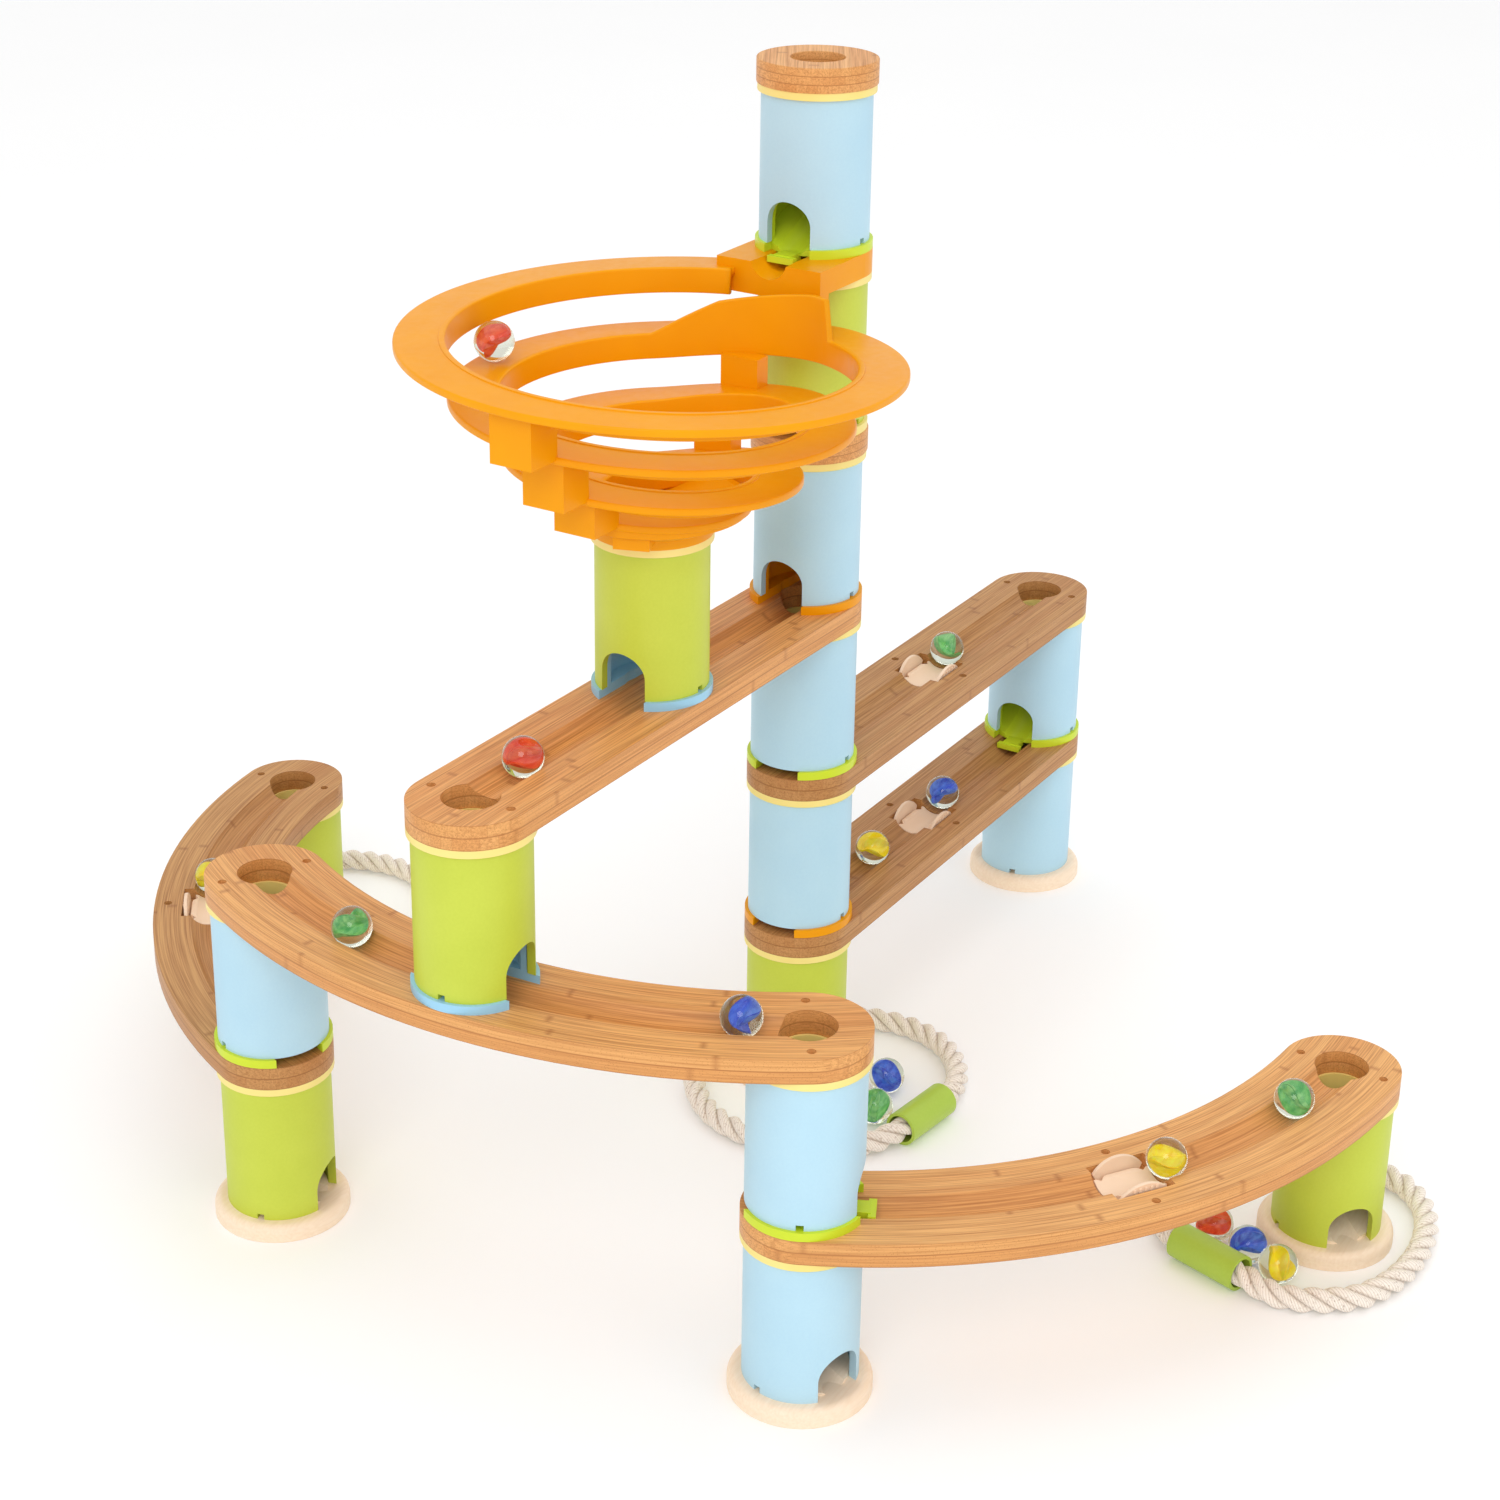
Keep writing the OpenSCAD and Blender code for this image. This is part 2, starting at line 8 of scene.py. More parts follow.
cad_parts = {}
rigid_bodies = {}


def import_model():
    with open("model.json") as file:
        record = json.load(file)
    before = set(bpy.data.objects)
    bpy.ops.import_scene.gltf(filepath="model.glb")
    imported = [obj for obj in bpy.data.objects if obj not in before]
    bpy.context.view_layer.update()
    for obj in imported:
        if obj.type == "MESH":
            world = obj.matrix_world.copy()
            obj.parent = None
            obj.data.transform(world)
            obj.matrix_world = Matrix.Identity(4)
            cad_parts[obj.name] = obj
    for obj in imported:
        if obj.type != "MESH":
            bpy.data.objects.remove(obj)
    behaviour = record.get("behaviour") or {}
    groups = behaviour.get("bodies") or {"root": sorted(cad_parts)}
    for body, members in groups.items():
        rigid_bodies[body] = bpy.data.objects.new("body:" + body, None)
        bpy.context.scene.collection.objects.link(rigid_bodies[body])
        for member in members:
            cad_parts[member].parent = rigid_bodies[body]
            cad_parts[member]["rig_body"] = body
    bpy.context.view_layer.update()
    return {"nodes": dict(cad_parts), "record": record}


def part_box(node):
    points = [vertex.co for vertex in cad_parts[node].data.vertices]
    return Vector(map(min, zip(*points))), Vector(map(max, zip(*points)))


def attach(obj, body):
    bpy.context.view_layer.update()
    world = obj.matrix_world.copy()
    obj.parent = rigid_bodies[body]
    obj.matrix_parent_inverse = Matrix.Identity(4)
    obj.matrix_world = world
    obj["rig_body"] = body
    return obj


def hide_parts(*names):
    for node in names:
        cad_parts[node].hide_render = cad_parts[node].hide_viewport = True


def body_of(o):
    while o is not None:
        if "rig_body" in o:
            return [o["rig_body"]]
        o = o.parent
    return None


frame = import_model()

# ---------- camera ----------
camera = bpy.data.objects.new("camera", bpy.data.cameras.new("camera"))
bpy.context.scene.collection.objects.link(camera)
camera.data.lens = 68.04
camera.data.sensor_width = 36
camera.data.shift_y = -0.1
camera.data.clip_start, camera.data.clip_end = 0.01, 60
turn = (
    Euler((0, 0, math.radians(-58.97))).to_matrix()
    @ Euler((math.radians(67.99), 0, 0)).to_matrix()
    @ Euler((0, 0, math.radians(0.88))).to_matrix()
)
camera.matrix_world = Matrix.Translation((-0.9744, -0.5585, 0.6842)) @ turn.to_4x4()
bpy.context.scene.camera = camera
bpy.context.scene.render.resolution_x = 1500
bpy.context.scene.render.resolution_y = 1500


# ---------- small helpers ----------
def new_mesh(name, points, faces, smooth=True):
    mesh = bpy.data.meshes.new(name)
    mesh.from_pydata([tuple(p) for p in points], [], faces)
    mesh.update()
    if smooth:
        mesh.polygons.foreach_set("use_smooth", [True] * len(mesh.polygons))
    obj = bpy.data.objects.new(name, mesh)
    bpy.context.scene.collection.objects.link(obj)
    return obj


def polar(r, degrees):
    a = math.radians(degrees)
    return Vector((r * math.cos(a), r * math.sin(a), 0))


def smooth(u):
    c = min(max(u, 0), 1)
    return c * c * (3 - 2 * c)


# ---------- layout, in millimetres as in the CAD ----------
MM = 0.001
# distance between the holes of a straight track, and half the angle and the radius of a curved one
SPAN, HALF_BEND, BEND_R = 236, 30.5, 240
# thickness of a track or disc, and the height of its top face at each level
BOARD, FOOT, STOREY = 10, 3.6, 76.6
TOP = {level: FOOT + STOREY * level for level in range(1, 7)}
FRONT_DIR, CURVE_TOP_DIR, CURVE_LEFT_DIR, CURVE_RIGHT_DIR = 179.5, 183.3, 128.1, -123.5
low_perch = polar(SPAN, FRONT_DIR)
high_perch = polar(SPAN / 2, FRONT_DIR)
curve_top_hub = low_perch - polar(BEND_R, CURVE_TOP_DIR)
left_at = curve_top_hub + polar(BEND_R, CURVE_TOP_DIR - HALF_BEND)
front_at = curve_top_hub + polar(BEND_R, CURVE_TOP_DIR + HALF_BEND)
curve_left_hub = left_at - polar(BEND_R, CURVE_LEFT_DIR + HALF_BEND)
curve_right_hub = front_at - polar(BEND_R, CURVE_RIGHT_DIR - HALF_BEND)

# ---------- rope rings ----------
# diameter, the length of one turn of a strand, and the step between sections
ROPE_D, ROPE_LAY, ROPE_STEP = 10.5, 27.0, 0.9
ROUTES = {
    "right": [
        (-45.8, -225, 7.5), (-49.3, -237.4, 7.5), (-52, -253, 5.3), (-46, -270, 5.3), (-33, -284, 5.3),
        (-12, -291.5, 5.3), (13, -292, 5.3), (36, -285, 5.3), (51, -270, 5.3), (55, -248, 5.3),
        (50, -226, 5.3), (36, -208, 5.3), (14, -196, 5.3), (-10, -191, 5.3), (-29, -194, 5.3),
        (-40.7, -206.6, 7.5), (-44.2, -219, 7.5),
    ],
    "centre": [
        (-11, -73.4, 7.5), (2, -75, 7.5), (18, -73, 5.3), (34, -65, 5.3), (47, -50, 5.3), (52, -30, 5.3),
        (48, -9, 5.3), (38, 12, 5.3), (22, 31, 5.3), (-1, 40, 5.3), (-26, 36, 5.3), (-48, 23, 5.3),
        (-62, 4, 5.3), (-66, -18, 5.3), (-60, -42, 5.3), (-47, -61, 5.3), (-30, -71, 7.5), (-17, -72.6, 7.5),
    ],
    "back": [
        (-62, 259, 7.5), (-62, 246, 7.5), (-57, 231, 5.3), (-42, 220, 5.3), (-20, 216, 5.3), (4, 219, 5.3),
        (27, 228, 5.3), (43, 243, 5.3), (50, 263, 5.3), (48, 284, 5.3), (38, 302, 5.3), (20, 315, 5.3),
        (-3, 320, 5.3), (-28, 317, 5.3), (-48, 306, 5.3), (-59, 292, 5.3), (-62, 278, 7.5), (-62, 265, 7.5),
    ],
}


def catmull(points, t):
    n = len(points) - 1
    i = min(int(t), n - 1)
    u = t - i
    a, b, c, d = (Vector(points[k]) for k in (max(i - 1, 0), i, i + 1, min(i + 2, n)))
    return 0.5 * (
        2 * b + (c - a) * u + (2 * a - 5 * b + 4 * c - d) * u * u + (3 * b - a - 3 * c + d) * u**3
    )


def even_line(points, step):
    """The route at even steps of its own length."""
    fine = [catmull(points, k * 0.02) for k in range((len(points) - 1) * 50 + 1)]
    total = sum((b - a).length for a, b in zip(fine, fine[1:]))
    n = round(total / step)
    line, run, want = [fine[0]], 0.0, total / n
    for a, b in zip(fine, fine[1:]):
        gap = (b - a).length
        while run + gap >= want * len(line) and len(line) < n:
            line.append(a.lerp(b, (want * len(line) - run) / gap))
        run += gap
    line.append(fine[-1])
    return line, total


def twisted_rope(name, route):
    """Three-strand rope along the route: a lobed section that turns as it goes."""
    line, total = even_line(route, ROPE_STEP)
    radius, around = ROPE_D / 2 * 0.98, 42
    points, faces, uv = [], [], []
    for i, here in enumerate(line):
        ahead = (line[min(i + 1, len(line) - 1)] - line[max(i - 1, 0)]).normalized()
        side = ahead.cross(Vector((0, 0, 1))).normalized()
        up = side.cross(ahead)
        run = i * total / (len(line) - 1)
        for j in range(around):
            a = 2 * math.pi * j / around
            near = (a + math.pi / 3) % (2 * math.pi / 3) - math.pi / 3
            r = radius * (0.5 * math.cos(near) + math.sqrt(0.25 - (0.5 * math.sin(near)) ** 2))
            b = a - 2 * math.pi * run / ROPE_LAY
            points.append((here + r * (math.cos(b) * side + math.sin(b) * up)) * MM)
            uv.append((run, a / (2 * math.pi) * 3))
    for i in range(len(line) - 1):
        for j in range(around):
            k = (j + 1) % around
            here, ahead = i * around, (i + 1) * around
            faces.append((here + j, ahead + j, ahead + k, here + k))
    last = (len(line) - 1) * around
    faces.append(tuple(range(around)))
    faces.append(tuple(last + j for j in reversed(range(around))))
    obj = new_mesh(name, points, faces)
    layer = obj.data.uv_layers.new(name="along")
    caps_from = len(obj.data.polygons) - 2
    for poly in obj.data.polygons:
        closing = poly.index < caps_from and poly.vertices[0] % around == around - 1
        for corner in poly.loop_indices:
            v = obj.data.loops[corner].vertex_index
            u, w = uv[v]
            layer.data[corner].uv = (u, 3.0 if closing and v % around == 0 else w)
    return obj, [p * MM for p in line], total * MM


ropes = []
for key, route in ROUTES.items():
    rope, path, rope_length = twisted_rope("rope_twist_" + key, route)
    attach(rope, "ring_" + key)
    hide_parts("rope_" + key)
    ropes.append(rope)


# ---------- materials ----------
class Shader:
    """A node tree with a Principled shader, and short words for the nodes used here."""

    def __init__(self, name, **sockets):
        self.mat = bpy.data.materials.new(name)
        self.mat.use_nodes = True
        self.nodes, self.links = self.mat.node_tree.nodes, self.mat.node_tree.links
        self.bsdf = self.nodes["Principled BSDF"]
        for socket, value in sockets.items():
            self.bsdf.inputs[socket.replace("_", " ")].default_value = value
        self.coords = self.nodes.new("ShaderNodeTexCoord")

    def put(self, socket, value):
        self.links.new(value, self.bsdf.inputs[socket])

    def feed(self, node, index, value):
        if isinstance(value, bpy.types.NodeSocket):
            self.links.new(value, node.inputs[index])
        elif value is not None:
            node.inputs[index].default_value = value

    def math(self, operation, a, b=None):
        node = self.nodes.new("ShaderNodeMath")
        node.operation = operation
        for i, value in enumerate((a, b)):
            self.feed(node, i, value)
        return node.outputs[0]

    def scaled(self, scale):
        node = self.nodes.new("ShaderNodeMapping")
        self.links.new(self.coords.outputs["Object"], node.inputs[0])
        node.inputs["Scale"].default_value = scale
        return node.outputs[0]

    def noise(self, vector, scale, detail=3, rough=0.5):
        node = self.nodes.new("ShaderNodeTexNoise")
        self.links.new(vector, node.inputs["Vector"])
        node.inputs["Scale"].default_value = scale
        node.inputs["Detail"].default_value = detail
        node.inputs["Roughness"].default_value = rough
        return node.outputs["Fac"]

    def white(self, value):
        node = self.nodes.new("ShaderNodeTexWhiteNoise")
        node.noise_dimensions = "1D"
        self.links.new(value, node.inputs["W"])
        return node.outputs["Value"]

    def ramp(self, value, low, high, to_low=0.0, to_high=1.0):
        node = self.nodes.new("ShaderNodeMapRange")
        self.feed(node, 0, value)
        for i, x in enumerate((low, high, to_low, to_high)):
            node.inputs[i + 1].default_value = x
        return node.outputs[0]

    def mix(self, factor, a, b, blend="MIX"):
        node = self.nodes.new("ShaderNodeMix")
        node.data_type, node.blend_type = "RGBA", blend
        self.feed(node, 0, factor)
        self.feed(node, 6, (*a, 1) if isinstance(a, tuple) else a)
        self.feed(node, 7, (*b, 1) if isinstance(b, tuple) else b)
        return node.outputs[2]

    def bump(self, height, strength, distance):
        node = self.nodes.new("ShaderNodeBump")
        node.inputs["Strength"].default_value = strength
        node.inputs["Distance"].default_value = distance
        self.links.new(height, node.inputs["Height"])
        self.links.new(node.outputs[0], self.bsdf.inputs["Normal"])


def srgb(r, g, b):
    return tuple(((c / 255 + 0.055) / 1.055) ** 2.4 if c > 10 else c / 3295 for c in (r, g, b))


def paint(name, light, dark, roughness):
    """Brushed paint on card or wood: fine specks, faint clouds and an orange-peel bump."""
    s = Shader(name, Roughness=roughness, Coat_Weight=0.12, Coat_Roughness=0.3)
    where = s.coords.outputs["Object"]
    clouds = s.noise(where, 28, 3)
    specks = s.noise(where, 900, 2)
    tone = s.math("ADD", s.ramp(clouds, 0.3, 0.7, 0, 0.7), s.ramp(specks, 0.3, 0.7, 0, 0.3))
    s.put("Base Color", s.mix(tone, light, dark))
    s.put("Roughness", s.ramp(clouds, 0.3, 0.7, roughness - 0.05, roughness + 0.08))
    s.bump(s.noise(where, 1400, 2), 0.12, 0.0001)
    return s.mat


def plastic(name, light, dark, roughness):
    """Moulded plastic: almost even, with faint flow clouds and a fine surface texture."""
    s = Shader(name, Roughness=roughness)
    where = s.coords.outputs["Object"]
    clouds = s.noise(where, 45, 2)
    s.put("Base Color", s.mix(s.ramp(clouds, 0.3, 0.7), light, dark))
    s.put("Roughness", s.ramp(s.noise(where, 260, 2), 0.3, 0.7, roughness - 0.04, roughness + 0.05))
    s.bsdf.inputs["Specular IOR Level"].default_value = 0.35
    return s.mat


# one strip's width, how far each ply's strips are shifted, and the run from one knot to the next
STRIP, PLY_SHIFT, KNOT_RUN = 0.0042, 0.0023, 0.16
# a hair over the board's thickness, so that its top face falls in the top ply
PLY_SPAN = 0.01001


def bamboo(name, origin, direction=None, hub=None, plies=2, tone=0.0, painted_shade=1.0):
    """Pressed bamboo strips that run with the track, with plies and end specks on its edges, and an optional
    painted shade that darkens the whole board.
    """
    s = Shader(name, Roughness=0.45, Specular_IOR_Level=0.3)
    where = s.coords.outputs["Object"]
    apart = s.nodes.new("ShaderNodeSeparateXYZ")
    s.links.new(where, apart.inputs[0])
    x, y, z = apart.outputs
    if hub is not None:
        dx = s.math("SUBTRACT", x, hub[0] * MM)
        dy = s.math("SUBTRACT", y, hub[1] * MM)
        squares = s.math("ADD", s.math("MULTIPLY", dx, dx), s.math("MULTIPLY", dy, dy))
        across = s.math("SQRT", squares)
        angle = s.math("ARCTAN2", s.math("MULTIPLY", dy, -1), s.math("MULTIPLY", dx, -1))
        along = s.math("MULTIPLY", angle, BEND_R * MM)
    else:
        c, t = math.cos(math.radians(direction)), math.sin(math.radians(direction))
        along = s.math("ADD", s.math("MULTIPLY", x, c), s.math("MULTIPLY", y, t))
        across = s.math("SUBTRACT", s.math("MULTIPLY", y, c), s.math("MULTIPLY", x, t))
    layers = s.math("MULTIPLY", s.math("SUBTRACT", z, origin), plies / PLY_SPAN)
    ply = s.math("FLOOR", layers)
    shifted = s.math("ADD", across, s.math("MULTIPLY", ply, PLY_SHIFT))
    lane = s.math("MULTIPLY", shifted, 1 / STRIP)
    strip = s.math("ADD", s.math("FLOOR", lane), s.math("MULTIPLY", ply, 31.7))
    place = s.math("SUBTRACT", lane, s.math("FLOOR", lane))
    own = s.white(strip)
    # grain, stretched along each strip
    joined = s.nodes.new("ShaderNodeCombineXYZ")
    s.feed(joined, 0, s.math("MULTIPLY", along, 22))
    s.feed(joined, 1, s.math("MULTIPLY", shifted, 1500))
    s.feed(joined, 2, s.math("ADD", s.math("MULTIPLY", z, 1500), s.math("MULTIPLY", own, 50)))
    grain = s.noise(joined.outputs[0], 1, 4, 0.6)
    # a darker node band every so often on each strip
    knot_run = s.math("ADD", s.math("MULTIPLY", along, 1 / KNOT_RUN), s.math("MULTIPLY", own, 7.3))
    knot_at = s.math("ABSOLUTE", s.math("SUBTRACT", s.math("FRACT", knot_run), 0.5))
    knot = s.ramp(knot_at, 0.0, 0.012, 1, 0)
    edge = s.ramp(s.math("ABSOLUTE", s.math("SUBTRACT", place, 0.5)), 0.45, 0.5, 0, 1)
    tones = ((238, 180, 112), (222, 156, 90), (160, 96, 48))
    # the last argument darkens all three wood tones of a board: painted shade for the boards at the back
    light, mid, dark = (tuple(c * painted_shade for c in srgb(*rgb)) for rgb in tones)
    colour = s.mix(s.ramp(own, 0, 1, tone, 0.9 + tone), light, mid)
    colour = s.mix(s.ramp(grain, 0.4, 0.68, 0, 0.7), colour, dark)
    colour = s.mix(s.math("MULTIPLY", edge, 0.35), colour, dark)
    colour = s.mix(s.math("MULTIPLY", knot, 0.55), colour, dark)
    # edges of the board: ply lines, and dots where the fibres end
    normal = s.nodes.new("ShaderNodeSeparateXYZ")
    s.links.new(s.coords.outputs["Normal"], normal.inputs[0])
    upright = s.ramp(s.math("ABSOLUTE", normal.outputs[2]), 0.25, 0.6, 1, 0)
    rise = s.math("FRACT", layers)
    line = s.ramp(s.math("MINIMUM", rise, s.math("SUBTRACT", 1.0, rise)), 0.0, 0.09, 0.75, 0)
    dots = s.nodes.new("ShaderNodeTexVoronoi")
    s.links.new(where, dots.inputs["Vector"])
    dots.inputs["Scale"].default_value = 1300
    dot = s.ramp(dots.outputs["Distance"], 0.12, 0.3, 0.5, 0)
    side = s.mix(s.math("MAXIMUM", line, dot), s.mix(0.35, colour, mid), dark)
    s.put("Base Color", s.mix(upright, colour, side))
    s.put("Roughness", s.ramp(grain, 0.3, 0.8, 0.36, 0.55))
    s.bump(s.math("SUBTRACT", grain, s.math("MULTIPLY", edge, 0.4)), 0.2, 0.00015)
    return s.mat


def pale_wood(name):
    """Close-grained light wood, nearly even."""
    s = Shader(name, Roughness=0.5)
    rings = s.noise(s.scaled((60, 900, 900)), 1, 3, 0.5)
    s.put("Base Color", s.mix(s.ramp(rings, 0.35, 0.7), srgb(252, 230, 204), srgb(246, 221, 192)))
    s.put("Roughness", s.ramp(rings, 0.3, 0.7, 0.42, 0.58))
    s.bump(rings, 0.05, 0.0001)
    return s.mat


def rope_fibre(name):
    """Yarns that cross each strand at an angle, with fine flecks, and painted shade in the grooves between
    yarns and in the creases between strands.
    """
    s = Shader(name, Roughness=0.85, Sheen_Weight=0.25)
    uv = s.nodes.new("ShaderNodeSeparateXYZ")
    s.links.new(s.coords.outputs["UV"], uv.inputs[0])
    run, turn_at = uv.outputs[0], uv.outputs[1]
    slant = s.math("ADD", s.math("MULTIPLY", run, 0.55), s.math("MULTIPLY", turn_at, 4.0))
    yarn = s.math("ABSOLUTE", s.math("SUBTRACT", s.math("FRACT", slant), 0.5))
    crease_shade = s.math("ABSOLUTE", s.math("SUBTRACT", s.math("FRACT", turn_at), 0.5))
    fleck = s.noise(s.coords.outputs["Object"], 900, 3, 0.7)
    hairs = s.noise(s.coords.outputs["Object"], 3200, 2, 0.6)
    # painted shade: darker in the grooves between yarns
    colour = s.mix(s.ramp(yarn, 0.0, 0.22, 0.55, 0), srgb(252, 242, 230), srgb(205, 182, 160))
    # painted shade: darker in the creases between strands
    colour = s.mix(s.ramp(crease_shade, 0.0, 0.14, 0.55, 0), colour, srgb(165, 140, 116))
    colour = s.mix(s.ramp(fleck, 0.56, 0.7, 0, 0.65), colour, srgb(150, 112, 84))
    s.put("Base Color", colour)
    s.put("Roughness", s.ramp(hairs, 0.3, 0.7, 0.75, 0.95))
    height = s.math("ADD", s.ramp(yarn, 0, 0.3, 0, 1), s.math("MULTIPLY", hairs, 0.5))
    s.bump(height, 0.55, 0.0004)
    return s.mat


green_paint = paint("green paint", srgb(200, 212, 66), srgb(191, 204, 58), 0.5)
blue_paint = paint("blue paint", srgb(184, 220, 236), srgb(175, 213, 232), 0.5)
lime_plastic = plastic("lime plastic", srgb(208, 226, 46), srgb(200, 219, 38), 0.36)
orange_plastic = plastic("orange plastic", srgb(240, 160, 0), srgb(237, 155, 0), 0.34)
orange_plastic.node_tree.nodes["Principled BSDF"].inputs["Specular IOR Level"].default_value = 0.16
sky_plastic = plastic("sky plastic", srgb(160, 210, 236), srgb(150, 203, 232), 0.36)
yellow_plastic = plastic("yellow plastic", srgb(247, 228, 142), srgb(243, 221, 130), 0.42)
cream_plastic = plastic("cream plastic", srgb(246, 218, 190), srgb(241, 210, 180), 0.45)
base_wood = pale_wood("pale wood")
rope_material = rope_fibre("rope fibre")
lime_paint = paint("lime sleeve", srgb(176, 204, 70), srgb(166, 196, 60), 0.45)

by_slot = {
    "green_paint": green_paint,
    "blue_paint": blue_paint,
    "pale_wood": base_wood,
    "cream_plastic": cream_plastic,
    "lime_plastic": lime_plastic,
    "orange_plastic": orange_plastic,
    "sky_plastic": sky_plastic,
    "yellow_plastic": yellow_plastic,
}
by_node = {
    "straight_top": bamboo("bamboo top", (TOP[3] - BOARD) * MM, direction=FRONT_DIR),
    # the boards at the back get darker copies of the bamboo: painted shade
    "straight_middle": bamboo(
        "bamboo middle", (TOP[2] - BOARD) * MM, direction=0, tone=0.05, painted_shade=0.68
    ),
    "straight_low": bamboo("bamboo low", (TOP[1] - BOARD) * MM, direction=0, painted_shade=0.7),
    "curve_top": bamboo("bamboo curve top", (TOP[2] - BOARD) * MM, hub=curve_top_hub),
    "curve_left": bamboo(
        "bamboo curve left", (TOP[1] - BOARD) * MM, hub=curve_left_hub, tone=0.05, painted_shade=0.72
    ),
    "curve_right": bamboo(
        "bamboo curve right", (TOP[1] - BOARD) * MM, hub=curve_right_hub, tone=-0.05
    ),
    "disc_top": bamboo("bamboo disc top", (TOP[6] - BOARD) * MM, direction=30, plies=3),
    "disc_middle": bamboo("bamboo disc middle", (TOP[4] - BOARD) * MM, direction=75, plies=3),
    "sleeve_right": lime_paint,
    "sleeve_centre": lime_paint,
    "sleeve_back": lime_paint,
}
slot_of = {s["node"]: s["material_slot"] for s in frame["record"]["subparts"]}


def dress(obj, material):
    obj.data.materials.clear()
    obj.data.materials.append(material)


for node, obj in frame["nodes"].items():
    material = by_node.get(node) or by_slot.get(slot_of[node])
    if material:
        dress(obj, material)
for rope in ropes:
    dress(rope, rope_material)

# ---------- edges of the boards, slightly broken ----------
BOARDS = ("straight_", "curve_", "disc_top", "disc_middle")
for node, obj in frame["nodes"].items():
    if not node.startswith(BOARDS):
        continue
    weld = obj.modifiers.new("weld", "WELD")
    weld.merge_threshold = 0.01 * MM
    bevel = obj.modifiers.new("broken edges", "BEVEL")
    bevel.width = 0.5 * MM
    bevel.segments = 2
    bevel.limit_method = "ANGLE"
    bevel.angle_limit = math.radians(50)

# ---------- tilting floor plates ----------
# the pins' depth below the track's top, and the length of the plate's floor and of its cheeks
PIN_DEPTH, PLATE_L, CHEEK_L = 7, 24.4, 22.2
SLOT_AT = {
    "middle": (polar(SPAN / 2, 0), TOP[2], 0),
    "low": (polar(SPAN / 2, 0), TOP[1], 0),
    "left": (curve_left_hub + polar(BEND_R, CURVE_LEFT_DIR), TOP[1], CURVE_LEFT_DIR + 90),
    "right": (curve_right_hub + polar(BEND_R, CURVE_RIGHT_DIR), TOP[1], CURVE_RIGHT_DIR + 90),
}


def tilting_plate(name, where, top, direction):
    """A waisted floor plate with a trough, and two low curved cheeks with small teeth outside."""
    points, faces = [], []
    place = Matrix.Translation(where + Vector((0, 0, top - PIN_DEPTH)))
    place = place @ Matrix.Rotation(math.radians(direction), 4, "Z")

    def half_width(x):
        ends = math.exp(-(((abs(x) - 9.4) / 1.7) ** 2))
        return 7.9 - 2.4 * ends - 0.9 * smooth((abs(x) - 10.5) / 1.6)

    nx, ny = 40, 20
    for layer in (0, 1):
        for i in range(nx + 1):
            x = -PLATE_L / 2 + PLATE_L * i / nx
            for j in range(ny + 1):
                y = half_width(x) * (2 * j / ny - 1)
                trough = 10.3 - math.sqrt(max(8.3**2 - min(abs(y), 8.2) ** 2, 0))
                points.append((x, y, min(4.3, trough) if layer else -2.0 + 0.12 * abs(x)))
    w = ny + 1
    size = (nx + 1) * w
    for i in range(nx):
        for j in range(ny):
            a = i * w + j
            faces.append((size + a, size + a + w, size + a + w + 1, size + a + 1))
            faces.append((a, a + 1, a + w + 1, a + w))
    rim = list(range(w)) + [i * w + ny for i in range(1, nx + 1)]
    rim += [nx * w + j for j in range(ny - 1, -1, -1)] + [i * w for i in range(nx - 1, 0, -1)]
    for a, b in zip(rim, rim[1:] + rim[:1]):
        faces.append((a, size + a, size + b, b))

    def block(corners, thickness, out, lean, foot):
        """An outline in x and z, thickened across the track, leaning outwards as it rises."""
        start, n = len(points), len(corners)
        for deep in (0, 1):
            for x, z in corners:
                points.append((x, out * (foot + lean * (z + 2) + thickness * deep), z))
        faces.append([start + k for k in (range(n) if out > 0 else reversed(range(n)))])
        faces.append([start + n + k for k in (reversed(range(n)) if out > 0 else range(n))])
        for k in range(n):
            q = (start + k, start + (k + 1) % n, start + n + (k + 1) % n, start + n + k)
            faces.append(q[::-1] if out > 0 else q)

    for out in (1, -1):
        arc = []
        for k in range(21):
            x = CHEEK_L / 2 - CHEEK_L * k / 20
            arc.append((x, -4 + math.sqrt(14**2 - x * x)))
        for k in range(1, 20):
            x = -CHEEK_L / 2 + CHEEK_L * k / 20
            arc.append((x, 11 - math.sqrt(13**2 - x * x)))
        block(arc, 1.5, out, 0.09, 8.3)
        for x in (-5, -2.5, 0, 2.5, 5):
            block([(x + 0.6, 6.6), (x + 0.6, 8.6), (x - 0.6, 8.6), (x - 0.6, 6.6)], 0.5, out, 0.09, 9.7)
    obj = new_mesh(name, [place @ Vector(p) for p in points], faces, smooth=False)
    obj.data.transform(Matrix.Scale(MM, 4))
    bevel = obj.modifiers.new("soft edges", "BEVEL")
    bevel.width, bevel.segments, bevel.limit_method = 0.25 * MM, 2, "ANGLE"
    bevel.angle_limit = math.radians(50)
    return obj


for key, (where, top, direction) in SLOT_AT.items():
    plate = tilting_plate("tilting_plate_" + key, where, top, direction)
    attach(plate, "tilt_" + key)
    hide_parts("rocker_" + key)
    dress(plate, cream_plastic)

# ---------- funnel band ----------
# drop of a whole turn and of the last one, the ledge's width, and the rim's radius
TURN_DROP, LAST_DROP, LEDGE, RIM_R = 21.5, 8, 19.5, 97
# thickness of the wall and of the ledge, and how far the wall hangs below
WALL, LEDGE_T, SKIRT = 2.5, 3, 10
FUNNEL_TOP = TOP[5] - 3.1
# each turn steps inwards over this run of degrees, where the fence stands on the first
STEP_FROM, STEP_RUN = 334, 59
FIRST_ANGLE, LAST_ANGLE, ANGLE_STEP = 10, 1386, 2
# angle and height of the points of the fence's top edge
FENCE = [(STEP_FROM, 380), (340, 380), (370, 373.5), (STEP_FROM + STEP_RUN, 361)]


